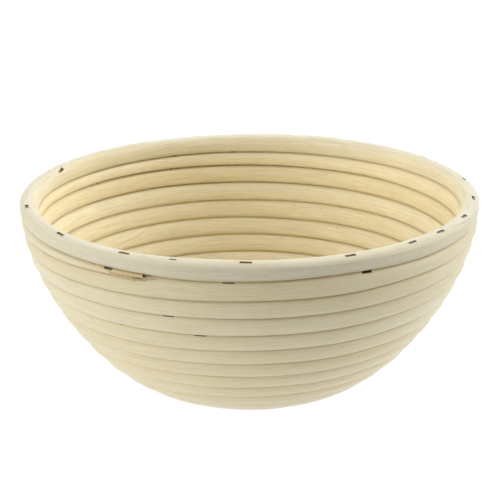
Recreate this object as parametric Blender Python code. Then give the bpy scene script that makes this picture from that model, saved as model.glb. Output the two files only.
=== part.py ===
"""Round banneton basket: three lengths of rattan cane, coiled into a bowl and stapled together.

The first cane starts at the middle of the base and coils up the wall. A second cane is scarfed to
it and finishes the wall, where its last turn tapers to a tip under the rim. The third cane is the
rim, a level ring whose two tapered ends lie one over the other. Wire staples hold every turn to
the turn below it.
"""
import math

import bmesh
import bpy
import numpy
from mathutils import Matrix, Vector

MM = 0.001

# The middle of the wall: a flat round base, then one smooth curve up to an upright rim.
CANE_DEPTH = 8.4 * MM           # through the wall
BASE_RADIUS = 41.0 * MM         # where the wall leaves the flat base
BASE_PULL = 23.8 * MM           # how far the curve runs on outwards from the base
RIM_PULL = 36.5 * MM            # how far the curve hangs straight down from the rim
RIM_MIDDLE_RADIUS = 105.8 * MM  # gives a rim 220 mm across
RIM_WIDEST_HEIGHT = 91.4 * MM
RIM_CROWN = 3.9 * MM            # rim top above its widest level
RIM_DIP = 0.8 * MM              # the rim's top is this much lower round the back and one side
DIP_AZIMUTHS = (65, 105, 240, 265)  # where the dip starts, is full, begins to rise and ends

# The spiral, measured as an arc length along the middle of the wall from the basket's axis.
COIL_PITCH = 9.65 * MM
SPIRAL_END = 150.0 * MM         # where an even spiral would stand at the tip's azimuth
COIL_START = 3.4 * MM           # how far out the first turn reaches where the cane begins
AXIS_CLEARANCE = 0.3 * MM
RIM_SEAM = 151.8 * MM           # the level seam under the rim
TIP_AZIMUTH = 246.0             # degrees, where the last turn's tip ends under the rim
CLIMB_SWAY = 1.9 * MM           # the coils climb fast on one side of the bowl and hardly on the other
SWAY_AZIMUTH = 295.0
SWAY_FROM = 45.0 * MM           # the base is wound evenly, so the sway grows from here
SWAY_FULL = 75.0 * MM
TAPER_RATE = 0.85 * MM          # thickness of the last turn, one degree before its tip
TAPER_POWER = 0.4

# Joints between the canes.
SPLICE_TURNS_BELOW_TIP = 4      # whole turns from the tip down to the turn that holds the splice
SPLICE_AZIMUTH = 134.0
SPLICE_LENGTH = 32.0            # degrees
SPLICE_LIP = 4.4 * MM           # height of the lower cane where the upper cane starts
RIM_SCARF_START = -35.0         # degrees
RIM_SCARF_LENGTH = 43.0
THIN_END = 0.9 * MM             # height of a tapered end

# The section of a cane, an octagon whose upper and lower flats face its neighbours.
SEAM_GAP = 0.4 * MM
SEAM_FLAT = 0.62                # share of the depth that meets the next turn
EDGE_HEIGHT = 2.6 * MM
EDGE_SHARE = 0.3                # of a thin section's height

STATION = 10.0                  # degrees between sections
WIDE_STATION = 20.0
WIDE_STATION_RADIUS = 22.0 * MM
FULL_TURN = 360.0

# The staples, in 1.1 mm wire.
WIRE = 1.1 * MM
STAPLE_WIDTH = 6.0 * MM
STAPLE_LENGTH = 13.5 * MM
STAPLE_POINT = 1.2 * MM
STAPLE_CLEARANCE = 0.3 * MM
CROWN_SINK = 0.7 * MM           # below the cane's top on the rim
SEAM_SINK = 0.35 * MM           # below the seam's middle between two turns
FACE_OFFSET = 1.8 * MM          # from the wall's middle to a staple set near one face
RIM_STAPLE_OFFSET = 1.5 * MM

# Where the maker's staples go, in degrees around the bowl.
RIM_STAPLES = (10, 34, 57, 79, 99, 127, 157, 175, 193, 218, 239.6, 252.2, 269.2, 294, 312, 323, 337, 353)
FIRST_SEAM_OUTER_STAPLES = (206, 235.5, 246, 265.2, 298.1, 318, 345)
FIRST_SEAM_INNER_STAPLES = (21, 48, 72, 95, 113, 142, 166, 186)
SECOND_SEAM_STAPLES = (8, 35, 60, 84, 104, 128, 154, 176, 214, 285, 320)
THIRD_SEAM_STAPLES = (250,)
FOURTH_SEAM_STAPLES = (235, 257.6)
SPLICE_STAPLES = (140, 152)

RATTAN_COLOUR = (0.73, 0.64, 0.42, 1.0)
RIM_COLOUR = (0.76, 0.69, 0.50, 1.0)
WIRE_COLOUR = (0.22, 0.21, 0.19, 1.0)


def clear_scene():
    for old_object in list(bpy.data.objects):
        bpy.data.objects.remove(old_object, do_unlink=True)


def wall_curve():
    """Arc length, radius and height of points along the middle of the wall, from axis to rim."""
    half = CANE_DEPTH / 2
    corners = numpy.array((
        (BASE_RADIUS, half),
        (BASE_RADIUS + BASE_PULL, half),
        (RIM_MIDDLE_RADIUS, RIM_WIDEST_HEIGHT - RIM_PULL),
        (RIM_MIDDLE_RADIUS, RIM_WIDEST_HEIGHT),
    ))
    share = numpy.linspace(0.0, 1.0, 400)[:, None]
    rest = 1.0 - share
    curve = (rest ** 3 * corners[0] + 3 * rest ** 2 * share * corners[1]
             + 3 * rest * share ** 2 * corners[2] + share ** 3 * corners[3])
    axis = numpy.array(((0.0, half),))
    top = numpy.array(((RIM_MIDDLE_RADIUS, RIM_WIDEST_HEIGHT + RIM_CROWN),))
    points = numpy.concatenate((axis, curve, top))
    steps = numpy.linalg.norm(numpy.diff(points, axis=0), axis=1)
    arcs = numpy.concatenate(((0.0,), numpy.cumsum(steps)))
    return arcs, points[:, 0], points[:, 1]


WALL_ARCS, WALL_RADII, WALL_HEIGHTS = wall_curve()
RIM_TOP = float(WALL_ARCS[-1])


def wall_frame(arc):
    """Radius and height at an arc length, and the wall's upward direction there."""
    probe = 0.5 * MM
    ends = numpy.clip((arc - probe, arc + probe), 0.0, RIM_TOP)
    run = numpy.diff(numpy.interp(ends, WALL_ARCS, WALL_RADII))[0]
    climb = numpy.diff(numpy.interp(ends, WALL_ARCS, WALL_HEIGHTS))[0]
    upward = Vector((run, climb)).normalized()
    radius = float(numpy.interp(arc, WALL_ARCS, WALL_RADII))
    height = float(numpy.interp(arc, WALL_ARCS, WALL_HEIGHTS))
    return radius, height, upward


def wall_point(arc, outward, azimuth):
    """A point of the wall, `outward` metres from its middle along the normal."""
    radius, height, upward = wall_frame(arc)
    radius += outward * upward.y
    height -= outward * upward.x
    turn = math.radians(azimuth)
    return Vector((radius * math.cos(turn), radius * math.sin(turn), height))


def rim_top(azimuth):
    """Arc length of the rim's top, which dips a little on one side."""
    return RIM_TOP - RIM_DIP * float(numpy.interp(azimuth % FULL_TURN, DIP_AZIMUTHS, (0.0, 1.0, 1.0, 0.0)))


def seam(angle):
    """Arc length of the spiral's seam at an angle in degrees that keeps counting up to the tip."""
    if angle >= TIP_AZIMUTH:
        return RIM_SEAM
    even = SPIRAL_END + COIL_PITCH * (angle - TIP_AZIMUTH) / FULL_TURN
    share = min(1.0, max(0.0, (even - SWAY_FROM) / (SWAY_FULL - SWAY_FROM)))
    sway = CLIMB_SWAY * share * math.cos(math.radians(angle - SWAY_AZIMUTH))
    under_taper = RIM_SEAM - TAPER_RATE * (TIP_AZIMUTH - angle) ** TAPER_POWER
    return min(even + sway, under_taper)


def cane_section(low, high, azimuth):
    """The eight corners of a cane's section between two seams."""
    low += SEAM_GAP / 2
    high -= SEAM_GAP / 2
    edge = min(EDGE_HEIGHT, EDGE_SHARE * (high - low))
    half = CANE_DEPTH / 2
    flat = SEAM_FLAT * half
    corners = (
        (low, flat), (low + edge, half), (high - edge, half), (high, flat),
        (high, -flat), (high - edge, -half), (low + edge, -half), (low, -flat),
    )
    return [wall_point(arc, outward, azimuth) for arc, outward in corners]


def station_angles(start, end):
    """Angles of the sections: both ends, and every whole step between them."""
    angles = [start]
    number = math.floor(start / STATION) + 1
    while number * STATION < end:
        angle = number * STATION
        wide = seam(angle + FULL_TURN) < WIDE_STATION_RADIUS
        if not wide or angle % WIDE_STATION == 0:
            angles.append(angle)
        number += 1
    angles.append(end)
    return angles


def cane_mesh(name, stations):
    """A closed solid through sections, each given as an angle, a low seam and a high seam."""
    shape = bmesh.new()
    rings = []
    for angle, low, high in stations:
        rings.append([shape.verts.new(point) for point in cane_section(low, high, angle)])
    shape.faces.new(rings[0])
    shape.faces.new(rings[-1])
    for ring, next_ring in zip(rings, rings[1:]):
        for corner in range(len(ring)):
            shape.faces.new((ring[corner - 1], ring[corner], next_ring[corner], next_ring[corner - 1]))
    bmesh.ops.recalc_face_normals(shape, faces=shape.faces)
    mesh = bpy.data.meshes.new(name)
    shape.to_mesh(mesh)
    shape.free()
    return mesh


def finish_mesh(mesh, material):
    mesh.materials.append(material)
    mesh.shade_smooth()
    mesh.set_sharp_from_angle(angle=math.radians(30))


def add_object(name, mesh):
    thing = bpy.data.objects.new(name, mesh)
    bpy.context.scene.collection.objects.link(thing)
    return thing


def plain_material(name, colour, roughness, metallic):
    material = bpy.data.materials.new(name)
    material.use_nodes = True
    shader = material.node_tree.nodes["Principled BSDF"]
    shader.inputs["Base Color"].default_value = colour
    shader.inputs["Roughness"].default_value = roughness
    shader.inputs["Metallic"].default_value = metallic
    return material


def splice_top(angle, splice):
    """Top of the lower cane along the splice, where it slopes down under the upper cane."""
    share = (angle - splice) / SPLICE_LENGTH
    return seam(angle) + SPLICE_LIP + (THIN_END - SPLICE_LIP) * share


def lower_cane_stations(splice):
    first = TIP_AZIMUTH - FULL_TURN * (1 + (SPIRAL_END - COIL_START) / COIL_PITCH)
    stations = []
    for angle in station_angles(first, splice):
        low = max(AXIS_CLEARANCE, seam(angle))
        stations.append((angle, low, seam(angle + FULL_TURN)))
    step = math.degrees(SEAM_GAP / WALL_RADII[-1])
    for angle in station_angles(splice + step, splice + SPLICE_LENGTH):
        stations.append((angle, seam(angle), splice_top(angle, splice)))
    return stations


def upper_cane_stations(splice):
    stations = []
    start = splice + 2 * math.degrees(SEAM_GAP / WALL_RADII[-1])
    for angle in station_angles(start, splice + SPLICE_LENGTH):
        stations.append((angle, splice_top(angle, splice), seam(angle + FULL_TURN)))
    clear_of_lower_end = splice + SPLICE_LENGTH + 1.0
    thin = TIP_AZIMUTH - (THIN_END / TAPER_RATE) ** (1 / TAPER_POWER)
    for angle in station_angles(clear_of_lower_end, thin):
        stations.append((angle, seam(angle), min(RIM_SEAM, seam(angle + FULL_TURN))))
    return stations


def rim_cane_stations():
    """The ring runs once round, and its two ends share the scarf as a pair of wedges."""
    scarf_end = RIM_SCARF_START + RIM_SCARF_LENGTH
    fall = RIM_TOP - RIM_SEAM - 2 * THIN_END

    def slope(angle):
        return RIM_TOP - THIN_END - fall * (angle - RIM_SCARF_START) / RIM_SCARF_LENGTH

    stations = [(angle, slope(angle), RIM_TOP) for angle in station_angles(RIM_SCARF_START, scarf_end)]
    for angle in station_angles(scarf_end + 1.0, RIM_SCARF_START + FULL_TURN - 1.0):
        stations.append((angle, RIM_SEAM, rim_top(angle)))
    for angle in station_angles(RIM_SCARF_START, scarf_end):
        stations.append((angle + FULL_TURN, RIM_SEAM, slope(angle)))
    return stations


def staple_mesh(name, clearance, headroom):
    """A U of square wire hanging from the origin, or with clearance the hole that it sits in."""
    half_width = STAPLE_WIDTH / 2 + clearance
    inner = STAPLE_WIDTH / 2 - WIRE - clearance
    tip = -STAPLE_LENGTH - clearance
    outline = (
        (-half_width, headroom), (half_width, headroom), (half_width, tip + STAPLE_POINT),
        (inner, tip), (inner, -WIRE - clearance), (-inner, -WIRE - clearance), (-inner, tip),
        (-half_width, tip + STAPLE_POINT),
    )
    half_wire = WIRE / 2 + clearance
    shape = bmesh.new()
    face = shape.faces.new([shape.verts.new((across, -half_wire, up)) for across, up in outline])
    extruded = bmesh.ops.extrude_face_region(shape, geom=[face], use_keep_orig=True)
    moved = [item for item in extruded["geom"] if isinstance(item, bmesh.types.BMVert)]
    bmesh.ops.translate(shape, verts=moved, vec=(0.0, 2 * half_wire, 0.0))
    bmesh.ops.recalc_face_normals(shape, faces=shape.faces)
    mesh = bpy.data.meshes.new(name)
    shape.to_mesh(mesh)
    shape.free()
    return mesh


def staple_matrix(azimuth, arc, outward):
    """Crown along the coil, legs down inside the curve of the wall."""
    radius, height, _ = wall_frame(arc)
    low_radius, low_height, _ = wall_frame(arc - STAPLE_LENGTH)
    upward = Vector((radius - low_radius, height - low_height)).normalized()
    turn = math.radians(azimuth)
    up = Vector((upward.x * math.cos(turn), upward.x * math.sin(turn), upward.y))
    out = Vector((upward.y * math.cos(turn), upward.y * math.sin(turn), -upward.x))
    along = out.cross(up)
    rotation = Matrix((along, out, up)).transposed().to_4x4()
    return Matrix.Translation(wall_point(arc, outward, azimuth)) @ rotation


def seam_places(azimuths, turns_below_tip, outward):
    """Places of staples whose crowns lie in the spiral's seam, some turns below the tip."""
    places = []
    for azimuth in azimuths:
        angle = azimuth - FULL_TURN * turns_below_tip
        places.append((azimuth, seam(angle) - SEAM_SINK, outward))
    return places


def staple_places(splice):
    """Every staple's node name prefix, with its azimuth, arc length and offset."""
    rim_places = [(azimuth, rim_top(azimuth) - CROWN_SINK, RIM_STAPLE_OFFSET) for azimuth in RIM_STAPLES]
    groups = {"rim_staple": rim_places}
    under_rim = RIM_SEAM - SEAM_SINK
    outer = [(azimuth, under_rim, FACE_OFFSET) for azimuth in FIRST_SEAM_OUTER_STAPLES]
    inner = [(azimuth, under_rim, -FACE_OFFSET) for azimuth in FIRST_SEAM_INNER_STAPLES]
    groups["first_turn_staple"] = outer + inner
    lower = seam_places(SECOND_SEAM_STAPLES, 1, -FACE_OFFSET)
    lower += seam_places(THIRD_SEAM_STAPLES, 2, FACE_OFFSET)
    lower += seam_places(FOURTH_SEAM_STAPLES, 3, FACE_OFFSET)
    groups["wall_staple"] = lower
    splice_angles = [splice - SPLICE_AZIMUTH + azimuth for azimuth in SPLICE_STAPLES]
    groups["splice_staple"] = [(angle, seam(angle + FULL_TURN) - SEAM_SINK, 0.0) for angle in splice_angles]
    return groups


def joined_holes(places):
    """One cutter for all the staple holes, kept out of the build as a guide."""
    shape = bmesh.new()
    for place in places:
        arc = place[1]
        headroom = 2 * CROWN_SINK if arc > RIM_SEAM else SEAM_SINK
        hole = staple_mesh("hole", STAPLE_CLEARANCE, headroom)
        hole.transform(staple_matrix(*place))
        shape.from_mesh(hole)
        bpy.data.meshes.remove(hole)
    mesh = bpy.data.meshes.new("staple_holes")
    shape.to_mesh(mesh)
    shape.free()
    holes = add_object("staple_holes", mesh)
    holes.hide_render = True
    holes.display_type = "WIRE"
    return holes


def cut_holes(cane, holes):
    cut = cane.modifiers.new("staple_holes", "BOOLEAN")
    cut.operation = "DIFFERENCE"
    cut.object = holes
    cut.solver = "EXACT"


def make_basket():
    clear_scene()
    rattan = plain_material("rattan_cane", RATTAN_COLOUR, 0.6, 0.0)
    rim_rattan = plain_material("rim_rattan_cane", RIM_COLOUR, 0.55, 0.0)
    wire = plain_material("staple_wire", WIRE_COLOUR, 0.45, 1.0)
    splice = SPLICE_AZIMUTH - FULL_TURN * SPLICE_TURNS_BELOW_TIP

    groups = staple_places(splice)
    holes = joined_holes([place for places in groups.values() for place in places])
    canes = (
        ("lower_cane", lower_cane_stations(splice), rattan),
        ("upper_cane", upper_cane_stations(splice), rattan),
        ("rim_cane", rim_cane_stations(), rim_rattan),
    )
    for name, stations, material in canes:
        mesh = cane_mesh(name, stations)
        finish_mesh(mesh, material)
        cut_holes(add_object(name, mesh), holes)

    staple = staple_mesh("staple", 0.0, 0.0)
    finish_mesh(staple, wire)
    for prefix, places in groups.items():
        for number, place in enumerate(places, start=1):
            piece = add_object(f"{prefix}_{number:02d}", staple)
            piece.matrix_world = staple_matrix(*place)


make_basket()
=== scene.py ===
import math

import bmesh
import bpy
import numpy as np
from mathutils import Matrix, Vector


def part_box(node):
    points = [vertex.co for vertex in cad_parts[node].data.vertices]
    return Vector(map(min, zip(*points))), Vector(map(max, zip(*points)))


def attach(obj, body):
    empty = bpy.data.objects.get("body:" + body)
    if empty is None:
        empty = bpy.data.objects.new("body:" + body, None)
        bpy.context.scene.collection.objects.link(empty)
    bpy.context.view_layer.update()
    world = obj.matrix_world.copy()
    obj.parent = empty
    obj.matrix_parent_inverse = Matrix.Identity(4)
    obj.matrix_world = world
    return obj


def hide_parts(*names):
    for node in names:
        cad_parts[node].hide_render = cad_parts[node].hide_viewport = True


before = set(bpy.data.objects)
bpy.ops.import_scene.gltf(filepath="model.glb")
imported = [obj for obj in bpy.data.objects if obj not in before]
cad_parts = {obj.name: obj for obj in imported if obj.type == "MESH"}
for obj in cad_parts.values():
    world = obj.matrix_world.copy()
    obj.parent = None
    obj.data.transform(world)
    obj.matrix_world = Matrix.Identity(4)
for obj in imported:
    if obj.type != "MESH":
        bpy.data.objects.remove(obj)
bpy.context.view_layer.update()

MM = 0.001

# ---------------------------------------------------------------------------------------------
# Camera: a long lens on a stand in front of the table, about 20 degrees above the bowl, so that it
# looks over the near rim at the far inside.
# ---------------------------------------------------------------------------------------------
CAMERA_DISTANCE = 884.4 * MM
CAMERA_ELEVATION = math.radians(19.71)
CAMERA_TILT = math.radians(18.55)
CAMERA_LENS = 129.7
bowl_middle = Vector((0.3 * MM, 0.0, 45.7 * MM))

camera_data = bpy.data.cameras.new("front_camera")
camera_data.lens = CAMERA_LENS
camera_data.clip_start = 0.01
camera = bpy.data.objects.new("front_camera", camera_data)
bpy.context.scene.collection.objects.link(camera)
camera.location = bowl_middle + CAMERA_DISTANCE * Vector(
    (0.0, -math.cos(CAMERA_ELEVATION), math.sin(CAMERA_ELEVATION)))
camera.rotation_euler = (math.pi / 2 - CAMERA_TILT, 0.0, 0.0)
bpy.context.scene.camera = camera

# ---------------------------------------------------------------------------------------------
# Stage: a matt white table that falls off into shade at the front, in a white room lit by a window
# at the front left, another at the right, a bright wall behind and a lamp overhead.
# ---------------------------------------------------------------------------------------------
FLOOR_SIZE = 8.0
FLOOR_WHITE = (0.05, 0.05, 0.05, 1.0)
FLOOR_GLOW = 0.98
SHADE_BEARING = math.radians(288.0)     # the shade lies at the front, a little to the right,
SHADE_NEAR = 0.19                       # starts this far out from the bowl's axis
SHADE_FAR = 0.34                        # and is full from here on
# Bearing and height in degrees, sharpness and strength of each bright side of the room.
BRIGHT_SIDES = (
    (209.0, 6.0, 5.0, 4.3),             # window at the front left
    (8.0, 22.0, 10.0, 6.0),             # window at the right
    (90.0, 20.0, 3.0, 0.70),            # wall behind
    (95.0, 74.0, 4.0, 1.75),            # lamp overhead
)
ROOM_LEAST = 0.03
ROOM_COLOUR = (0.985, 0.995, 1.0, 1.0)


def new_object(name, mesh):
    thing = bpy.data.objects.new(name, mesh)
    bpy.context.scene.collection.objects.link(thing)
    return thing


def mesh_from(shape, name):
    mesh = bpy.data.meshes.new(name)
    shape.to_mesh(mesh)
    shape.free()
    return mesh


def add_node(tree, kind, **settings):
    node = tree.nodes.new(kind)
    for key, value in settings.items():
        setattr(node, key, value)
    return node


def set_inputs(node, **values):
    for key, value in values.items():
        node.inputs[key.replace("_", " ")].default_value = value


def math_node(tree, operation, *values):
    """A Math node whose values may be sockets or numbers."""
    node = add_node(tree, "ShaderNodeMath", operation=operation)
    for socket, value in zip(node.inputs, values):
        if isinstance(value, bpy.types.NodeSocket):
            tree.links.new(value, socket)
        else:
            socket.default_value = value
    return node.outputs["Value"]


def map_value(tree, value, low, high, to_low, to_high):
    """A socket's value, brought from one range to another and held inside it."""
    ramp = add_node(tree, "ShaderNodeMapRange")
    set_inputs(ramp, From_Min=low, From_Max=high, To_Min=to_low, To_Max=to_high)
    tree.links.new(value, ramp.inputs["Value"])
    return ramp.outputs["Result"]


floor_shape = bmesh.new()
bmesh.ops.create_grid(floor_shape, x_segments=1, y_segments=1, size=FLOOR_SIZE / 2)
floor = new_object("floor", mesh_from(floor_shape, "floor"))
floor_material = bpy.data.materials.new("white_table")
floor_material.use_nodes = True
floor_tree = floor_material.node_tree
floor_shader = floor_tree.nodes["Principled BSDF"]
set_inputs(floor_shader, Base_Color=FLOOR_WHITE, Roughness=0.9, Specular_IOR_Level=0.1)
floor_shader.inputs["Emission Color"].default_value = (1.0, 1.0, 1.0, 1.0)
floor_reach = add_node(floor_tree, "ShaderNodeVectorMath", operation="DOT_PRODUCT")
floor_coords = add_node(floor_tree, "ShaderNodeTexCoord")
floor_tree.links.new(floor_coords.outputs["Object"], floor_reach.inputs[0])
floor_reach.inputs[1].default_value = (math.cos(SHADE_BEARING), math.sin(SHADE_BEARING), 0.0)
glow = map_value(floor_tree, floor_reach.outputs["Value"], SHADE_NEAR, SHADE_FAR, FLOOR_GLOW, 0.0)
floor_tree.links.new(glow, floor_shader.inputs["Emission Strength"])
floor.data.materials.append(floor_material)

world = bpy.data.worlds.new("white_room")
world.use_nodes = True
world_tree = world.node_tree
direction = add_node(world_tree, "ShaderNodeTexCoord")
brightness = ROOM_LEAST
for bearing, height, sharpness, strength in BRIGHT_SIDES:
    turn, lift = math.radians(bearing), math.radians(height)
    facing = add_node(world_tree, "ShaderNodeVectorMath", operation="DOT_PRODUCT")
    world_tree.links.new(direction.outputs["Generated"], facing.inputs[0])
    facing.inputs[1].default_value = (
        math.cos(turn) * math.cos(lift), math.sin(turn) * math.cos(lift), math.sin(lift))
    share = math_node(world_tree, "MAXIMUM", facing.outputs["Value"], 0.0)
    lobe = math_node(world_tree, "POWER", share, sharpness)
    brightness = math_node(world_tree, "MULTIPLY_ADD", lobe, strength, brightness)
background = world_tree.nodes["Background"]
background.inputs["Color"].default_value = ROOM_COLOUR
world_tree.links.new(brightness, background.inputs["Strength"])
bpy.context.scene.world = world
bpy.context.scene.view_settings.view_transform = "Standard"

# ---------------------------------------------------------------------------------------------
# The wall and its seams: the canes are wound on a form, so they all follow one line from the axis
# out along the flat base and up to the rim. Seams are arc lengths on that line, and the spiral
# climbs faster on one side of the bowl than on the other.
# ---------------------------------------------------------------------------------------------
CANE_DEPTH = 8.4 * MM           # through the wall
BASE_RADIUS = 41.0 * MM         # the base is flat out to here
BASE_PULL = 23.8 * MM           # how long the wall keeps to the base's direction
RIM_PULL = 36.5 * MM            # and to the rim's, which stands upright
RIM_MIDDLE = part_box("rim_cane")[1].x - CANE_DEPTH / 2
RIM_WIDEST = 91.4 * MM          # height of the rim's widest level
RIM_CROWN = 3.9 * MM            # the rim's top stands this much above it
COIL_PITCH = 9.65 * MM
SPIRAL_END = 149.7 * MM         # the spiral's seam at the tip
RIM_SEAM = 151.2 * MM
# Swells of the seam under the rim: azimuth and half width in degrees, height in millimetres.
RIM_SWELLS = ((14.0, 34.0, 1.4), (293.0, 13.0, 0.65), (257.0, 12.0, -0.55), (140.0, 30.0, -0.2))
TIP = 246.0                     # the angle at which the last turn ends
FULL_TURN = 360.0
UNEVEN_FROM = 45.0 * MM         # the flat base is wound evenly, the wall is not: its unevenness sets in
UNEVEN_RISE = 30.0 * MM         # here and is full this much higher
CLIMB_SWAY = 2.2 * MM           # the wall's seams stand this much high at one azimuth, low opposite
SWAY_AZIMUTH = 303.0
SEAM_WANDER = 0.2 * MM
SEAM_WAVES = (97.0, 61.0, 37.0, 211.0)
SEAM_SAG = 0.45 * MM            # all seams sag a little at one place
SAG_AZIMUTH, SAG_WIDTH = 292.0, 13.0
LAST_TURN_DROP = ((-190.0, -140.0, 25.0, 60.0), (0.0, 0.75, 0.75, 0.0))     # degrees, millimetres
TAPER_RATE = 1.48 * MM          # the last turn's height, this times a power of the degrees to its tip
TAPER_POWER = 0.32
TAPER_MOST = 7.9 * MM
SEAM_TILT = 1.1 * MM            # the seams slope: this much higher outside than in the middle


def wall_line():
    """Arc length, radius and height along the middle of the wall."""
    half = CANE_DEPTH / 2
    corners = np.array(((BASE_RADIUS, half), (BASE_RADIUS + BASE_PULL, half),
                        (RIM_MIDDLE, RIM_WIDEST - RIM_PULL), (RIM_MIDDLE, RIM_WIDEST)))
    share = np.linspace(0.0, 1.0, 400)[:, None]
    rest = 1.0 - share
    curve = (rest ** 3 * corners[0] + 3 * rest ** 2 * share * corners[1]
             + 3 * rest * share ** 2 * corners[2] + share ** 3 * corners[3])
    points = np.concatenate((((0.0, half),), curve, ((RIM_MIDDLE, RIM_WIDEST + RIM_CROWN),)))
    arcs = np.concatenate(((0.0,), np.cumsum(np.linalg.norm(np.diff(points, axis=0), axis=1))))
    return arcs, points[:, 0], points[:, 1]


LINE_ARCS, LINE_RADII, LINE_HEIGHTS = wall_line()
RIM_TOP = float(LINE_ARCS[-1])


def wall_points(arc, outward, azimuth):
    """Points of the wall from arrays: arc length, distance outward of its middle, degrees round."""
    probe = 1.5 * MM
    low, high = np.clip(arc - probe, 0.0, RIM_TOP), np.clip(arc + probe, 0.0, RIM_TOP)
    run = np.interp(high, LINE_ARCS, LINE_RADII) - np.interp(low, LINE_ARCS, LINE_RADII)
    climb = np.interp(high, LINE_ARCS, LINE_HEIGHTS) - np.interp(low, LINE_ARCS, LINE_HEIGHTS)
    length = np.hypot(run, climb)
    radius = np.interp(arc, LINE_ARCS, LINE_RADII) + outward * climb / length
    height = np.interp(arc, LINE_ARCS, LINE_HEIGHTS) - outward * run / length
    turn = np.radians(azimuth)
    return np.stack((radius * np.cos(turn), radius * np.sin(turn), height), axis=-1)


def wander(angle, seed, *waves):
    """A smooth irregular swing between about -1 and 1, made of waves given in degrees."""
    phases = np.random.default_rng(seed).uniform(0.0, 2 * math.pi, len(waves))
    swings = [np.sin(2 * math.pi * angle / wave + phase) for wave, phase in zip(waves, phases)]
    return sum(swings) / len(waves)


def bulge(angle, azimuth, width):
    """A smooth bump of height 1 round an azimuth, `width` degrees to either side."""
    apart = np.mod(angle - azimuth + FULL_TURN / 2, FULL_TURN) - FULL_TURN / 2
    return np.exp(-(apart / width) ** 2)


def rim_seam(angle):
    """Arc length of the seam under the rim, level but for the scarf's swell and some waves."""
    return RIM_SEAM + MM * sum(
        height * bulge(angle, azimuth, width) for azimuth, width, height in RIM_SWELLS)


def seam(angle):
    """Arc length of the spiral's seam, at an angle that counts up to the tip."""
    even = SPIRAL_END + COIL_PITCH * (angle - TIP) / FULL_TURN
    share = np.clip((even - UNEVEN_FROM) / UNEVEN_RISE, 0.0, 1.0)
    sway = CLIMB_SWAY * share * np.cos(np.radians(angle - SWAY_AZIMUTH))
    uneven = SEAM_WANDER * share * wander(angle, 3, *SEAM_WAVES)
    sag = SEAM_SAG * share * bulge(angle, SAG_AZIMUTH, SAG_WIDTH)
    last_turn = MM * np.interp(angle, *LAST_TURN_DROP)
    before_tip = np.maximum(TIP - angle, 0.0)
    under_taper = rim_seam(angle) - np.minimum(TAPER_RATE * before_tip ** TAPER_POWER, TAPER_MOST)
    highest = np.where(angle > 0.0, under_taper, RIM_SEAM)
    return np.minimum(even + sway + uneven - sag - last_turn, highest)


# ---------------------------------------------------------------------------------------------
# Rattan: peeled cane is a bundle of straight pale fibres. Its colour drifts slowly along the
# length, fine pores and darker fibres run along it, and it is tanned where turns press together, a
# tan that also carries painted shade for the grooves. The inside of the bowl is painted warmer and
# paler, painted light for the light bounced round inside it.
# ---------------------------------------------------------------------------------------------
CANE_UV = "along_cane"          # metres along the cane, metres round its section
INNER_PAINTED_LIGHT = (1.22, 1.17, 1.06, 1.0)    # painted light: the inside of the bowl is made warmer and paler, standing in for light bounced round inside it
FIBRE_BROWN = (0.484, 0.391, 0.223, 1.0)
PORE_BROWN = (0.29, 0.21, 0.10, 1.0)
# tan where turns press together, and painted shade in the grooves between them
SEAM_TAN_AND_SHADE = (0.47, 0.335, 0.13, 1.0)
AGED_BROWN = (0.58, 0.40, 0.146, 1.0)
MARK_BROWN = (0.20, 0.12, 0.05, 1.0)
MARK_RAGGED = 0.0012            # metres that a mark's edge may wander
FLUTE_SHARE = 1.6               # height of the flutes against that of the fibres
GRAIN_DEPTH = 0.00012           # metres


def group_sockets(group, inputs, outputs):
    for socket_name, kind, value in inputs:
        socket = group.interface.new_socket(socket_name, in_out="INPUT", socket_type=kind)
        if value is not None:
            socket.default_value = value
    for socket_name, kind in outputs:
        group.interface.new_socket(socket_name, in_out="OUTPUT", socket_type=kind)


def make_fibre_group():
    """Masks for fibres, pores and slow drift from the cane's own length and girth."""
    tree = bpy.data.node_groups.new("cane_fibres", "ShaderNodeTree")
    group_sockets(tree, (("Vector", "NodeSocketVector", None),),
                  (("Fibre", "NodeSocketFloat"), ("Pore", "NodeSocketFloat"),
                   ("Drift", "NodeSocketFloat"), ("Flute", "NodeSocketFloat")))
    source = add_node(tree, "NodeGroupInput")
    result = add_node(tree, "NodeGroupOutput")

    def layer(name, scale, detail, roughness):
        mapping = add_node(tree, "ShaderNodeMapping", name=name)
        mapping.inputs["Scale"].default_value = scale
        noise = add_node(tree, "ShaderNodeTexNoise", noise_dimensions="2D")
        set_inputs(noise, Scale=1.0, Detail=detail, Roughness=roughness)
        tree.links.new(source.outputs["Vector"], mapping.inputs["Vector"])
        tree.links.new(mapping.outputs["Vector"], noise.inputs["Vector"])
        return noise.outputs["Fac"]

    fibre = layer("fibre_map", (42.0, 1900.0, 1.0), 3.0, 0.62)
    pore = layer("pore_map", (150.0, 3300.0, 1.0), 1.0, 0.5)
    drift = layer("drift_map", (5.5, 26.0, 1.0), 2.0, 0.5)
    flute = layer("flute_map", (16.0, 620.0, 1.0), 1.0, 0.5)
    tree.links.new(fibre, result.inputs["Fibre"])
    tree.links.new(map_value(tree, pore, 0.66, 0.80, 0.0, 1.0), result.inputs["Pore"])
    tree.links.new(drift, result.inputs["Drift"])
    tree.links.new(flute, result.inputs["Flute"])
    return tree


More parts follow.
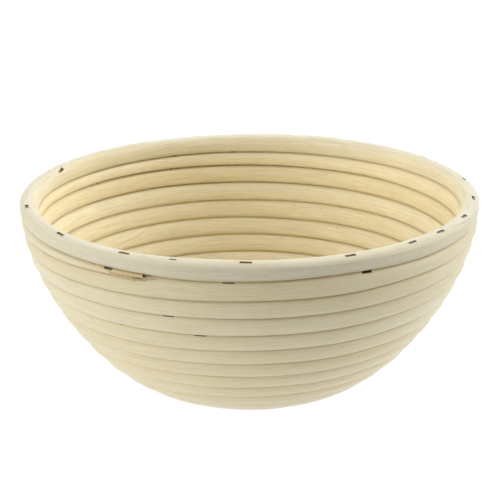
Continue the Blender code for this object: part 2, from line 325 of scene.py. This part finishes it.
def make_mark_group():
    """A small soft spot round a point: a knot, a bruise or a stain."""
    tree = bpy.data.node_groups.new("cane_mark", "ShaderNodeTree")
    group_sockets(tree, (("Before", "NodeSocketFloat", 0.0), ("Vector", "NodeSocketVector", None),
                         ("Place", "NodeSocketVector", None), ("Radius", "NodeSocketFloat", 0.002),
                         ("Strength", "NodeSocketFloat", 0.5)),
                  (("Mask", "NodeSocketFloat"),))
    source = add_node(tree, "NodeGroupInput")
    result = add_node(tree, "NodeGroupOutput")
    distance = add_node(tree, "ShaderNodeVectorMath", operation="DISTANCE")
    ragged = add_node(tree, "ShaderNodeTexNoise")
    set_inputs(ragged, Scale=900.0, Detail=2.0)
    spot = add_node(tree, "ShaderNodeMapRange", interpolation_type="SMOOTHSTEP")
    set_inputs(spot, To_Min=1.0, To_Max=0.0)
    tree.links.new(source.outputs["Vector"], distance.inputs[0])
    tree.links.new(source.outputs["Place"], distance.inputs[1])
    tree.links.new(source.outputs["Vector"], ragged.inputs["Vector"])
    reach = math_node(
        tree, "MULTIPLY_ADD", ragged.outputs["Fac"], MARK_RAGGED, distance.outputs["Value"])
    tree.links.new(reach, spot.inputs["Value"])
    tree.links.new(source.outputs["Radius"], spot.inputs["From Max"])
    strength = math_node(tree, "MULTIPLY", spot.outputs["Result"], source.outputs["Strength"])
    most = math_node(tree, "MAXIMUM", strength, source.outputs["Before"])
    tree.links.new(most, result.inputs["Mask"])
    return tree


fibre_group = make_fibre_group()
mark_group = make_mark_group()


def mix_colour(tree, factor, first, second, blend="MIX"):
    """A colour mix whose first and second may be sockets or plain colours."""
    mix = add_node(tree, "ShaderNodeMix", data_type="RGBA", blend_type=blend)
    for socket, value in ((mix.inputs[0], factor), (mix.inputs[6], first), (mix.inputs[7], second)):
        if isinstance(value, bpy.types.NodeSocket):
            tree.links.new(value, socket)
        else:
            socket.default_value = value
    return mix.outputs[2]


def rattan_material(name, pale, deep, marks):
    """Peeled rattan, with the marks given as place, radius and strength."""
    material = bpy.data.materials.new(name)
    material.use_nodes = True
    tree = material.node_tree
    shader = tree.nodes["Principled BSDF"]
    uv = add_node(tree, "ShaderNodeUVMap", uv_map=CANE_UV)
    coords = add_node(tree, "ShaderNodeTexCoord")
    grain = add_node(tree, "ShaderNodeGroup", node_tree=fibre_group)
    tree.links.new(uv.outputs["UV"], grain.inputs["Vector"])
    seam_tan_and_shade = add_node(tree, "ShaderNodeAttribute", attribute_name="seam_tan_and_shade")
    age = add_node(tree, "ShaderNodeAttribute", attribute_name="age")

    drift = map_value(tree, grain.outputs["Drift"], 0.35, 0.68, 0.0, 1.0)
    colour = mix_colour(tree, drift, pale, deep)
    # painted light: the inner face is tinted warmer and paler for the light bounced round the bowl
    inner = add_node(tree, "ShaderNodeAttribute", attribute_name="inner")
    colour = mix_colour(tree, inner.outputs["Fac"], colour, INNER_PAINTED_LIGHT, "MULTIPLY")
    fibre = map_value(tree, grain.outputs["Fibre"], 0.36, 0.66, 0.0, 0.34)
    colour = mix_colour(tree, fibre, colour, FIBRE_BROWN)
    pore = map_value(tree, grain.outputs["Pore"], 0.0, 1.0, 0.0, 0.30)
    colour = mix_colour(tree, pore, colour, PORE_BROWN)
    # darker toward the seams: partly the tan of pressed cane, partly painted shade for the grooves
    seam_tan_and_shade_share = map_value(tree, seam_tan_and_shade.outputs["Fac"], 0.1, 1.0, 0.0, 0.7)
    colour = mix_colour(tree, seam_tan_and_shade_share, colour, SEAM_TAN_AND_SHADE)
    aged = map_value(tree, age.outputs["Fac"], 0.0, 1.0, 0.0, 0.6)
    colour = mix_colour(tree, aged, colour, AGED_BROWN)
    mask = None
    for place, radius, strength in marks:
        mark = add_node(tree, "ShaderNodeGroup", node_tree=mark_group)
        tree.links.new(coords.outputs["Object"], mark.inputs["Vector"])
        set_inputs(mark, Place=place, Radius=radius, Strength=strength)
        if mask is not None:
            tree.links.new(mask, mark.inputs["Before"])
        mask = mark.outputs["Mask"]
    if mask is not None:
        colour = mix_colour(tree, mask, colour, MARK_BROWN)
    tree.links.new(colour, shader.inputs["Base Color"])
    rough = map_value(tree, grain.outputs["Fibre"], 0.3, 0.7, 0.52, 0.66)
    tree.links.new(rough, shader.inputs["Roughness"])
    set_inputs(shader, Specular_IOR_Level=0.35, Sheen_Weight=0.30, Sheen_Roughness=0.45)

    height = math_node(
        tree, "MULTIPLY_ADD", grain.outputs["Flute"], FLUTE_SHARE, grain.outputs["Fibre"])
    bump = add_node(tree, "ShaderNodeBump")
    set_inputs(bump, Strength=0.5, Distance=GRAIN_DEPTH)
    tree.links.new(height, bump.inputs["Height"])
    tree.links.new(bump.outputs["Normal"], shader.inputs["Normal"])
    return material


def blemish(azimuth, arc, side, radius, strength):
    """A mark on a cane's face, given in degrees and millimetres, with its side (1 outside)."""
    place = wall_points(
        np.array((arc * MM,)), np.array((side * CANE_DEPTH / 2,)), np.array((azimuth,)))[0]
    return tuple(place), radius * MM, strength


SEAM_CRACK = 0.008 * MM         # each of two turns that are pressed together stays this far back
# The two faces of a turn: where each is fullest, its fall to the top edge and to the bottom edge,
# and the depth and sharpness of the groove at the seams.
OUTER_FACE = (-0.30, 0.46, 0.14, 0.15, 9.0)
INNER_FACE = (0.05, 0.26, 0.26, 0.13, 9.0)
FACE_POWER = 2.1
OPEN_FROM = 0.52                # a seam that has sprung open does so beyond this share of half the depth
CONTACT_SIDES = (0.33, -0.33, -OPEN_FROM)       # rows across the contact between two turns
CUT_CRACK = 0.006               # left between the halves of a scarf, as a share of half the height
CUT_GROOVE = 0.08
CUT_GROOVE_WIDTH = 0.3 * MM
NO_CUT = 9.0                    # stands for a cut that is far away
DEPTH_SWAY = 0.018              # the cane's thickness varies by this share,
FACE_SWAY = 0.13 * MM           # it lies this much further out or in,
FLUTE_DEPTH = 0.028 * MM        # and its faces are faintly fluted
TILT_FROM = 60.0 * MM           # the seams' slope sets in here and is full this much higher
TILT_RISE = 20.0 * MM


def coil_face(across, fullest, above, below, groove, sharpness):
    """How far out the face of a full turn is, as a share of half the depth. It is fullest at one
    height and falls back by `above` to its top edge and by `below` to its bottom edge."""
    height = across - fullest
    size = np.where(height > 0.0, height / (1.0 - fullest), -height / (1.0 + fullest))
    fall = np.where(height > 0.0, above, below)
    return 1.0 - fall * size ** FACE_POWER - groove * np.abs(across) ** sharpness


def crown_face(across, power):
    """The same for the free edge of the rim, which is round."""
    return np.maximum(1.0 - np.abs(across) ** power, 0.0) ** (1.0 / power)


def wound_cane(name, angles, low, high, cut_low=None, cut_high=None, around=17, crown=None,
               opening=None, age=None, seed=1):
    """A cane wound through `angles`. Each turn fills the wall from the seam `low` to `high`, or
    only the share from `cut_low` to `cut_high`, -1 to 1, where it is scarfed to another."""
    count = len(angles)
    nothing = np.zeros(count)
    cut_low = nothing - 1.0 if cut_low is None else cut_low
    cut_high = nothing + 1.0 if cut_high is None else cut_high
    opening = nothing if opening is None else opening
    steps = np.sin(np.linspace(-math.pi / 2, math.pi / 2, around))
    share = np.concatenate((steps, (1.0,) * 3, steps[::-1], (-1.0,) * 3, steps[:1]))
    side = np.concatenate(
        (np.ones(around), CONTACT_SIDES, -np.ones(around), CONTACT_SIDES[::-1], (1.0,)))
    columns = len(share) - 1

    across = cut_low[:, None] + (cut_high - cut_low)[:, None] * (share[None, :] + 1) / 2
    outside = np.broadcast_to(side[None, :] > 0.0, across.shape)
    face = np.where(outside, coil_face(across, *OUTER_FACE), coil_face(across, *INNER_FACE))
    if crown is not None:
        face = np.where(across > 0.0, crown_face(across, crown), face)
    full_height = (high - low)[:, None]
    above_cut = np.where(cut_low[:, None] > -1.0, across - cut_low[:, None], NO_CUT)
    below_cut = np.where(cut_high[:, None] < 1.0, cut_high[:, None] - across, NO_CUT)
    from_cut = np.minimum(above_cut, below_cut) * full_height / 2
    face = face - CUT_GROOVE * np.exp(-np.maximum(from_cut, 0.0) / CUT_GROOVE_WIDTH)
    pressed_top = 1.0 if crown is None else 0.0
    contact = np.where(share[None, :] > 0.0, pressed_top, 1.0)
    face = np.where(np.abs(side)[None, :] < 1.0, contact, face)
    depth = CANE_DEPTH / 2 * (1.0 + DEPTH_SWAY * wander(angles, seed, 71.0, 33.0, 155.0))[:, None]
    shift = FACE_SWAY * wander(angles, seed + 1, 133.0, 57.0, 29.0)[:, None]
    broad = 9.0 * across + 1.5 * wander(angles, seed + 2, 83.0, 51.0)[:, None]
    fine = 17.0 * across + 2.2 * wander(angles, seed + 3, 67.0, 41.0)[:, None]
    fluting = FLUTE_DEPTH * (np.sin(broad) + np.sin(fine))
    outs = (depth * face + fluting * (1.0 - across ** 4)) * side[None, :] + shift

    middle = ((low + high) / 2)[:, None]
    tilt = SEAM_TILT * np.clip((middle - TILT_FROM) / TILT_RISE, 0.0, 1.0)
    sprung = np.clip(-side[None, :] - OPEN_FROM, 0.0, 1.0) / (1.0 - OPEN_FROM)
    receding = sprung * np.abs(across) ** 10 * np.sign(across)
    slope = tilt * outs / (CANE_DEPTH / 2)
    if crown is not None:
        slope = slope * (1.0 - np.clip(across, 0.0, 1.0))
    arcs = middle + full_height / 2 * across + slope - opening[:, None] * receding
    places = wall_points(arcs, outs, np.broadcast_to(angles[:, None], arcs.shape))

    centre = wall_points(middle[:, 0], nothing, angles)
    along = np.concatenate(((0.0,), np.cumsum(np.linalg.norm(np.diff(centre, axis=0), axis=1))))
    girth = np.where(np.abs(side) == 1.0, share * COIL_PITCH / 2, np.sign(share) * COIL_PITCH / 2)
    girth = girth + np.where(side > 0, 1.0, -1.0) * 2.5 * COIL_PITCH

    shape = bmesh.new()
    bmesh.ops.create_grid(shape, x_segments=count - 1, y_segments=columns, size=0.5)
    seam_tan_and_shade_layer = shape.verts.layers.float.new("seam_tan_and_shade")
    age_layer = shape.verts.layers.float.new("age")
    inner_light_layer = shape.verts.layers.float.new("inner")
    uv_layer = shape.loops.layers.uv.new(CANE_UV)
    spot = {}
    # share toward each seam: the mask for the tan and painted shade of the grooves
    seam_tan_and_shade = np.abs(across) ** 6 * np.where(across > 0, pressed_top, 1.0)
    for vert in shape.verts:
        row = round((vert.co.x + 0.5) * (count - 1))
        column = round((vert.co.y + 0.5) * columns)
        spot[vert] = (row, column)
        vert[seam_tan_and_shade_layer] = float(seam_tan_and_shade[row, column])
        vert[age_layer] = 0.0 if age is None else float(age[row])
        # how far in the face lies: the mask for the inside's painted light
        vert[inner_light_layer] = max(0.0, -float(outs[row, column]) / (CANE_DEPTH / 2))
        vert.co = places[row, column]
    for face_loop in (loop for face_made in shape.faces for loop in face_made.loops):
        row, column = spot[face_loop.vert]
        face_loop[uv_layer].uv = (along[row] + seed * 1.7, girth[column])
    bmesh.ops.remove_doubles(shape, verts=shape.verts, dist=1e-7)
    ends = [edge for edge in shape.edges if edge.is_boundary]
    bmesh.ops.holes_fill(shape, edges=ends, sides=0)
    bmesh.ops.recalc_face_normals(shape, faces=shape.faces)
    mesh = mesh_from(shape, name)
    mesh.shade_smooth()
    mesh.set_sharp_from_angle(angle=math.radians(60))
    return new_object(name, mesh)


TIGHTEST_RADIUS = 6.0 * MM


def stations(start, end, spacing):
    """Angles about `spacing` metres apart along the spiral."""
    angles = [start]
    while angles[-1] < end:
        turn_middle = seam(np.array(angles[-1] + FULL_TURN / 2))
        radius = max(TIGHTEST_RADIUS, float(np.interp(turn_middle, LINE_ARCS, LINE_RADII)))
        angles.append(angles[-1] + math.degrees(spacing / radius))
    angles[-1] = end
    return np.array(angles)


# ---------------------------------------------------------------------------------------------
# Lower cane: starts at the middle of the base, is wound flat and then up the wall, and ends in a
# long scarf under the start of the upper cane, glued nowhere and held by two staples.
# ---------------------------------------------------------------------------------------------
LOWER_SPACING = 2.0 * MM
SPLICE_TURN = -4 * FULL_TURN    # the splice lies four turns before the last
SPLICE_START = 124.0 + SPLICE_TURN
SPLICE_SHOULDER = 134.0 + SPLICE_TURN
SPLICE_END = 166.0 + SPLICE_TURN
SHOULDER_SHARE = -0.10          # where the scarf's line crosses the turn, -1 at its bottom, 1 at its top
COIL_START = 3.4 * MM           # the seam is this far from the axis at the cane's start,
AXIS_CLEARANCE = 0.3 * MM       # and the cane keeps this far away from the axis
FEATHER = 0.035                 # what is left of a scarf's thin end, as a share of half the height


def splice_share(angle):
    """The scarf's line, down from the top of the turn to its bottom."""
    return np.interp(angle, (SPLICE_START, SPLICE_SHOULDER, SPLICE_END),
                     (1.0, SHOULDER_SHARE, -1.0 + FEATHER))


cane_start = TIP - FULL_TURN * (1 + (SPIRAL_END - COIL_START) / COIL_PITCH)
lower_angles = stations(cane_start, SPLICE_END, LOWER_SPACING)
lower_cane = wound_cane(
    "coiled_lower_cane", lower_angles,
    np.maximum(AXIS_CLEARANCE, seam(lower_angles)) + SEAM_CRACK,
    seam(lower_angles + FULL_TURN) - SEAM_CRACK,
    cut_high=splice_share(lower_angles), seed=11)
lower_cane.data.materials.append(rattan_material(
    "lower_rattan", (0.672, 0.607, 0.425, 1.0), (0.632, 0.545, 0.338, 1.0),
    (blemish(289.0, 113.0, 1.0, 2.0, 0.30), blemish(298.0, 114.3, 1.0, 1.8, 0.25),
     blemish(322.0, 112.0, 1.0, 1.7, 0.12))))
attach(lower_cane, "root")
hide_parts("lower_cane")

# ---------------------------------------------------------------------------------------------
# Upper cane: laps over the lower cane's scarf, is wound on to the rim, and tapers through its last
# turn to a split, browned tip.
# ---------------------------------------------------------------------------------------------
UPPER_SPACING = 1.9 * MM
TIP_SHORTER = 0.8               # degrees; beyond this the tip is all splinters
TIP_HEIGHT = 0.3 * MM
BROWNED_LENGTH = 22.0           # degrees
SPRUNG_MOST = 0.5 * MM
SPRUNG_SHARES = ((40.0, 85.0, 105.0, 125.0, 140.0, 152.0), (0.0, 0.5, 1.0, 0.8, 0.9, 0.0))

upper_angles = stations(SPLICE_START, TIP - TIP_SHORTER, UPPER_SPACING)
upper_high = np.minimum(rim_seam(upper_angles), seam(upper_angles + FULL_TURN)) - SEAM_CRACK
upper_low = np.minimum(seam(upper_angles) + SEAM_CRACK, upper_high - TIP_HEIGHT)
tip_age = np.clip((upper_angles - (TIP - BROWNED_LENGTH)) / BROWNED_LENGTH, 0.0, 1.0)


def open_seam(angle):
    """Inside at the back, the turn below the last has sprung a little away from it."""
    return SPRUNG_MOST * np.interp(angle, *SPRUNG_SHARES)


upper_cane = wound_cane(
    "coiled_upper_cane", upper_angles, upper_low, upper_high,
    cut_low=np.where(upper_angles < SPLICE_END,
                     np.minimum(splice_share(upper_angles), 1.0 - FEATHER), -1.0),
    opening=open_seam(upper_angles) + open_seam(upper_angles + FULL_TURN), age=tip_age, seed=23)
upper_cane.data.materials.append(rattan_material(
    "upper_rattan", (0.680, 0.617, 0.438, 1.0), (0.639, 0.559, 0.356, 1.0),
    (blemish(66.0, 121.0, -1.0, 1.7, 0.35), blemish(83.0, 122.5, -1.0, 1.6, 0.25),
     blemish(151.0, 133.0, -1.0, 1.8, 0.25), blemish(135.0, 114.4, -1.0, 1.7, 0.3))))
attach(upper_cane, "root")
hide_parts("upper_cane")

# ---------------------------------------------------------------------------------------------
# Rim cane: a nearly level ring of the same rattan, sanded smoother, whose ends are cut to long
# wedges and lapped one over the other.
# ---------------------------------------------------------------------------------------------
SCARF_START = -35.0
SCARF_END = 8.0
CROWN_POWER = 2.15              # 2 would be round, more is squarer
RIM_DIP = 0.8 * MM              # the rim is this much lower round the back and the left
RIM_DIP_SHARES = ((65.0, 105.0, 240.0, 265.0), (0.0, 1.0, 1.0, 0.0))
RIM_STEP = 0.7                  # degrees
RIM_OVERRUN = 0.5
rim_angles = np.arange(SCARF_START, SCARF_END + FULL_TURN + RIM_OVERRUN, RIM_STEP)


def scarf_share(angle):
    """The line of the rim's scarf, down from the top of the ring to its bottom."""
    return np.interp(angle, (SCARF_START, SCARF_END), (1.0 - FEATHER, -1.0 + FEATHER))


def rim_crest(azimuth):
    """Arc length of the rim's top."""
    dip = np.interp(np.mod(azimuth, FULL_TURN), *RIM_DIP_SHARES)
    return RIM_TOP - RIM_DIP * dip * dip * (3.0 - 2.0 * dip)


rim_cane = wound_cane(
    "rim_ring", rim_angles, rim_seam(rim_angles) + SEAM_CRACK, rim_crest(rim_angles),
    cut_low=np.where(rim_angles < SCARF_END, scarf_share(rim_angles), -1.0),
    cut_high=np.where(rim_angles > SCARF_START + FULL_TURN,
                      scarf_share(rim_angles - FULL_TURN) - CUT_CRACK, 1.0),
    around=21, crown=CROWN_POWER, seed=37)
rim_cane.data.materials.append(rattan_material(
    "rim_rattan", (0.635, 0.597, 0.470, 1.0), (0.598, 0.544, 0.383, 1.0), ()))
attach(rim_cane, "root")
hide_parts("rim_cane")

# ---------------------------------------------------------------------------------------------
# Staple slots: each staple is shot flush and has crushed a slot with torn sides, painted dark as
# shade, about 5 mm long in the rim's crown, and 2.6 to 5.6 mm long where one shows in a seam.
# ---------------------------------------------------------------------------------------------
RIM_STAPLE_OFFSET = 1.5 * MM    # outward of the wall's middle
RIM_SLOT_LENGTHS = (4.8, 5.6)   # least and most, in millimetres
RIM_SLOT_WIDTHS = (1.25, 1.6)
RIM_SLOT_HEIGHT = 2.6 * MM      # of the cutter, most of which stands clear above the crown
RIM_SLOT_DEPTH = 0.75 * MM
RIM_SLOT_SKEW = 5.0             # degrees either way
AXES_BELOW_CREST = 2.0 * MM     # a slot's axes are taken this far below the rim's crest
SEAM_SLOT_WIDTH = 3.0           # through the wall, in millimetres
SEAM_SLOT_SKEW = 3.0
SLOT_ROUNDING = 0.22 * MM
# painted shade: the slots' sides are mottled between near black and dark brown to stand for the shade in
# them
SLOT_SHADE_DARK, SLOT_SHADE_LIGHT = (0.08, 0.06, 0.025, 1.0), (0.42, 0.33, 0.15, 1.0)
SEAM_FACE = 2.6 * MM            # how far out the cane's surface is where two turns meet
SEAM_SLOPE = SEAM_TILT * SEAM_FACE / (CANE_DEPTH / 2)
CLOSED_SLOTS = ("rim_staple_08",)       # the cane has closed over this crown
FAINT_SLOTS = ("rim_staple_01", "rim_staple_05", "rim_staple_12")
FAINT_LENGTH, FAINT_WIDTH = 0.65, 0.6   # as shares of a full slot's
TILTED_STAPLE = "rim_staple_07"         # driven at a slant, it broke out on the inner side
TILTED_OFFSET = -2.8 * MM
TILTED_YAW = math.radians(12.0)
# Staple, whole turns from the tip down to its seam, side of the wall (1 outside), and in mm the
# length, height and depth of its slot, and how far the slot lies below the seam.
SEAM_SLOTS = (
    ("first_turn_staple_02", 0, 1.0, 4.6, 1.1, 1.4, 0.3),
    ("first_turn_staple_03", 0, 1.0, 4.0, 1.1, 1.5, 0.3),
    ("first_turn_staple_04", 0, 1.0, 5.4, 1.2, 1.6, 0.3),
    ("first_turn_staple_05", 0, 1.0, 5.0, 1.5, 2.1, 0.5),
    ("wall_staple_12", 2, 1.0, 5.6, 1.1, 1.5, 0.3),
    ("wall_staple_13", 3, 1.0, 2.6, 0.9, 1.2, 0.25),
    ("wall_staple_14", 3, 1.0, 5.6, 1.3, 1.7, 0.35),
    ("first_turn_staple_11", 0, -1.0, 2.6, 0.8, 0.8, 0.0),
    ("first_turn_staple_12", 0, -1.0, 2.6, 0.8, 0.8, 0.0),
)


def mottled_material(name, scale, detail, dark, light):
    """A material mottled between two colours, with its shader and the mottle's own socket."""
    material = bpy.data.materials.new(name)
    material.use_nodes = True
    tree = material.node_tree
    shader = tree.nodes["Principled BSDF"]
    noise = add_node(tree, "ShaderNodeTexNoise")
    set_inputs(noise, Scale=scale, Detail=detail)
    coords = add_node(tree, "ShaderNodeTexCoord")
    tree.links.new(coords.outputs["Object"], noise.inputs["Vector"])
    colour = mix_colour(tree, noise.outputs["Fac"], dark, light)
    tree.links.new(colour, shader.inputs["Base Color"])
    return material, shader, noise.outputs["Fac"]


# painted shade for the inside of the staple slots
slot_shade, slot_shade_shader, _ = mottled_material(
    "slot_painted_shade", 1200.0, 3.0, SLOT_SHADE_DARK, SLOT_SHADE_LIGHT)
set_inputs(slot_shade_shader, Roughness=0.9)


def wall_matrix(azimuth, arc, outward, lift, yaw, yaw_axis):
    """Axes at a place on the wall, `lift` higher: along the coil, out of the wall, up the wall."""
    step = 0.5 * MM
    place, above, beyond = (Vector(point) for point in wall_points(
        np.array((arc, arc + step, arc)), np.array((outward, outward, outward + step)),
        np.full(3, azimuth)))
    up = (above - place).normalized()
    out = (beyond - place).normalized()
    along = out.cross(up)
    turned = Matrix((along, out, up)).transposed().to_4x4()
    return Matrix.Translation(place + lift * up) @ turned @ Matrix.Rotation(yaw, 4, yaw_axis)


def cut_slots(cane, slots):
    """Cuts boxes given as place matrix and size out of a cane, their sides painted dark as shade in the
    slots.
    """
    shape = bmesh.new()
    for matrix, size in slots:
        made = bmesh.ops.create_cube(
            shape, size=1.0, matrix=matrix @ Matrix.Diagonal((*size, 1.0)))
        edges = {edge for vert in made["verts"] for edge in vert.link_edges}
        bmesh.ops.bevel(shape, geom=list(edges), offset=SLOT_ROUNDING, segments=2, profile=0.5,
                        affect="EDGES", material=-1)
    for face in shape.faces:
        face.material_index = 1
    cutter = new_object("slot_cutter", mesh_from(shape, "slot_cutter"))
    for piece in (cane, cutter, cutter):        # the slots' painted shade is the second finish on both
        piece.data.materials.append(slot_shade)
    cut = cane.modifiers.new("slots", "BOOLEAN")
    cut.operation = "DIFFERENCE"
    cut.solver = "MANIFOLD"
    cut.object = cutter
    graph = bpy.context.evaluated_depsgraph_get()
    mesh = bpy.data.meshes.new_from_object(cane.evaluated_get(graph), depsgraph=graph)
    cane.modifiers.clear()
    cane.data = mesh
    bpy.data.objects.remove(cutter, do_unlink=True)


def staple_azimuth(node_name):
    """Where round the bowl a staple is, in degrees."""
    low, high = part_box(node_name)
    return math.degrees(math.atan2(low.y + high.y, low.x + high.x)) % FULL_TURN


dice = np.random.default_rng(5)
rim_slots = []
for node_name in sorted(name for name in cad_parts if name.startswith("rim_staple")):
    azimuth = staple_azimuth(node_name)
    length = dice.uniform(*RIM_SLOT_LENGTHS) * MM
    width = dice.uniform(*RIM_SLOT_WIDTHS) * MM
    yaw = math.radians(dice.uniform(-RIM_SLOT_SKEW, RIM_SLOT_SKEW))
    offset = RIM_STAPLE_OFFSET
    if node_name in CLOSED_SLOTS:
        continue
    if node_name in FAINT_SLOTS:
        length, width = FAINT_LENGTH * length, FAINT_WIDTH * width
    if node_name == TILTED_STAPLE:
        offset, yaw = TILTED_OFFSET, TILTED_YAW
    crown_share = float(crown_face(np.array(offset / CANE_DEPTH * 2), CROWN_POWER))
    drop = (RIM_TOP - RIM_SEAM) / 2 * (1.0 - crown_share)
    lift = AXES_BELOW_CREST - drop - RIM_SLOT_DEPTH + RIM_SLOT_HEIGHT / 2
    axes = wall_matrix(
        azimuth, float(rim_crest(azimuth)) - AXES_BELOW_CREST, offset, lift, yaw, "Z")
    rim_slots.append((axes, (length, width, RIM_SLOT_HEIGHT)))
seam_slots = []
for node_name, turns, side, length, height, depth, below in SEAM_SLOTS:
    azimuth = staple_azimuth(node_name)
    angle = azimuth - turns * FULL_TURN
    seam_arc = float(seam(np.array(angle)) if turns else rim_seam(azimuth))
    size = (length * MM, SEAM_SLOT_WIDTH * MM, height * MM)
    outward = side * (SEAM_FACE - depth * MM + size[1] / 2)
    yaw = math.radians(dice.uniform(-SEAM_SLOT_SKEW, SEAM_SLOT_SKEW))
    slot_arc = seam_arc + side * SEAM_SLOPE - below * MM
    seam_slots.append((wall_matrix(azimuth, slot_arc, outward, 0.0, yaw, "Y"), size))
cut_slots(rim_cane, rim_slots + seam_slots)
cut_slots(upper_cane, seam_slots)

# ---------------------------------------------------------------------------------------------
# Splinters: where the last turn was cut off thin, its end has split into a few browned fibre
# bundles that stand a little proud of the wall.
# ---------------------------------------------------------------------------------------------
SPLINTER_COUNT = 9
SPLINTER_ROWS = 14
SPLINTER_LAST = SPLINTER_ROWS - 1
SPLINTER_STARTS = (5.0, 11.0)   # degrees before the tip, least and most
SPLINTER_ENDS = (-2.5, 3.0)     # degrees beyond the tip
SPLINTER_RADII = (0.22, 0.42)   # these and the next two in millimetres
SPLINTER_DROOPS = (-0.2, 0.9)
SPLINTER_LIFTS = (0.1, 0.75)
SPLINTER_BANDS = (0.1, 0.9)     # where in the height of the tip each one starts
SPLINTER_FACE = 0.93            # how far out they start, as a share of half the depth
SPLINTER_TAPER = 0.85
splinter_shape = bmesh.new()
for number in range(SPLINTER_COUNT):
    start = TIP - dice.uniform(*SPLINTER_STARTS)
    finish = TIP + dice.uniform(*SPLINTER_ENDS)
    thick = dice.uniform(*SPLINTER_RADII) * MM
    bearings = np.linspace(start, finish, SPLINTER_ROWS)
    share = np.linspace(0.0, 1.0, SPLINTER_ROWS)
    band = dice.uniform(*SPLINTER_BANDS)
    droop = dice.uniform(*SPLINTER_DROOPS) * MM * share ** 2
    arcs = seam(bearings) * (1 - band) + rim_seam(bearings) * band - droop
    outs = CANE_DEPTH / 2 * SPLINTER_FACE + dice.uniform(*SPLINTER_LIFTS) * MM * share ** 1.5
    line = wall_points(arcs, outs, bearings)
    ring = None
    for row in range(SPLINTER_ROWS):
        radius = thick * (1.0 - SPLINTER_TAPER * share[row] ** 2)
        ahead = Vector(line[min(row + 1, SPLINTER_LAST)] - line[max(row - 1, 0)]).normalized()
        turned = ahead.to_track_quat("Z", "Y").to_matrix().to_4x4()
        made = bmesh.ops.create_circle(
            splinter_shape, cap_ends=row in (0, SPLINTER_LAST), segments=6, radius=radius,
            matrix=Matrix.Translation(Vector(line[row])) @ turned)["verts"]
        edges = list({edge for vert in made for edge in vert.link_edges})
        if ring is not None:
            bmesh.ops.bridge_loops(splinter_shape, edges=ring + edges)
        ring = edges
bmesh.ops.recalc_face_normals(splinter_shape, faces=splinter_shape.faces)
splinters = new_object("tip_splinters", mesh_from(splinter_shape, "tip_splinters"))
splinters.data.shade_smooth()
splinter_brown, splinter_shader, _ = mottled_material(
    "splinters", 700.0, 2.0, (0.30, 0.18, 0.07, 1.0), (0.64, 0.53, 0.30, 1.0))
set_inputs(splinter_shader, Roughness=0.7)
splinters.data.materials.append(splinter_brown)
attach(splinters, "root")

# ---------------------------------------------------------------------------------------------
# Staples: fine galvanised wire gone dull, driven flush and a little below the surface.
# ---------------------------------------------------------------------------------------------
wire, wire_shader, tarnish = mottled_material(
    "dull_wire", 1400.0, 3.0, (0.22, 0.20, 0.13, 1.0), (0.42, 0.38, 0.26, 1.0))
set_inputs(wire_shader, Metallic=1.0)
wire_roughness = map_value(wire.node_tree, tarnish, 0.3, 0.7, 0.38, 0.62)
wire.node_tree.links.new(wire_roughness, wire_shader.inputs["Roughness"])
for node_name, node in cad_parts.items():
    if "staple" in node_name:
        node.data.materials.clear()
        node.data.materials.append(wire)
